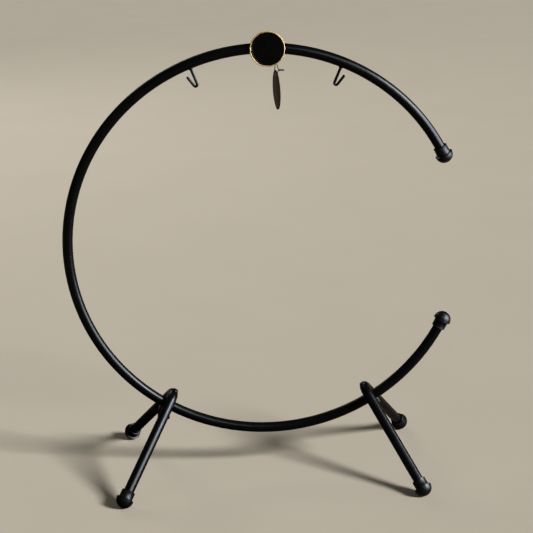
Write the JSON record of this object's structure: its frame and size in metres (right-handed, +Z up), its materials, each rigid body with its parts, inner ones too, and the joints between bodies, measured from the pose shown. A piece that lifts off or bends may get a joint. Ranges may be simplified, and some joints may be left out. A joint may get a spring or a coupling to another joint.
{
  "type": "gong stand",
  "caption": "Free-standing round gong stand: an open ring of bent tube on hairpin legs, with hooks for the gong, a badge and a hang tag.",
  "frame": {"origin": "on the floor, under the middle of the stand's width and depth", "axes": "+Z up, +X to the right as seen from the front, -Y towards the front, where the badge faces"},
  "size_m": [1.2224, 0.5486, 1.4296],
  "materials": {
    "tube_coat": "satin black powder coat",
    "cap_rubber": "satin moulded rubber",
    "black_plastic": "fine moulded texture",
    "dark_steel": "black zinc plated",
    "badge_lacquer": "satin black with fine turned rings",
    "gold_trim": "polished",
    "tag_card": "stiff coated card, brown",
    "eyelet_metal": "nickel plated",
    "cord": "waxed twisted cord"
  },
  "bodies": {
    "stand_frame": {"ring_tube": "tube_coat", "ring_cap_upper": "cap_rubber", "ring_cap_lower": "cap_rubber", "hook_left": "tube_coat", "hook_right": "tube_coat", "badge_collar": "black_plastic", "badge_plate": "badge_lacquer", "badge_bezel": "gold_trim", "badge_nut": "dark_steel", "leg_left": "tube_coat", "clamp_spacer_left": "black_plastic", "clamp_bolt_left": "dark_steel", "clamp_saddle_left": "black_plastic", "clamp_washer_left": "dark_steel", "foot_cap_left_front": "cap_rubber", "foot_cap_left_rear": "cap_rubber", "leg_right": "tube_coat", "clamp_spacer_right": "black_plastic", "clamp_bolt_right": "dark_steel", "clamp_saddle_right": "black_plastic", "clamp_washer_right": "dark_steel", "foot_cap_right_front": "cap_rubber", "foot_cap_right_rear": "cap_rubber"},
    "hang_tag": {"tag_card": "tag_card", "tag_eyelet": "eyelet_metal", "tag_cord": "cord", "tag_knot": "cord"},
    "wing_nut_left": {"wing_nut_left": "black_plastic"},
    "wing_nut_right": {"wing_nut_right": "black_plastic"}
  },
  "joints": [
    {"name": "tag_swing", "type": "hinge", "parent": "stand_frame", "child": "hang_tag", "pos_m": [0.06224, 0, 1.37574], "axis": [0.9981, 0, -0.0622], "range_deg": [-15, 75]},
    {"name": "wing_nut_left_turn", "type": "hinge", "parent": "stand_frame", "child": "wing_nut_left", "pos_m": [-0.33088, 0, 0.2013], "axis": [-0.5373, 0, -0.8434], "continuous": true},
    {"name": "wing_nut_right_turn", "type": "hinge", "parent": "stand_frame", "child": "wing_nut_right", "pos_m": [0.37836, 0, 0.2013], "axis": [0.5373, 0, -0.8434], "continuous": true}
  ]
}
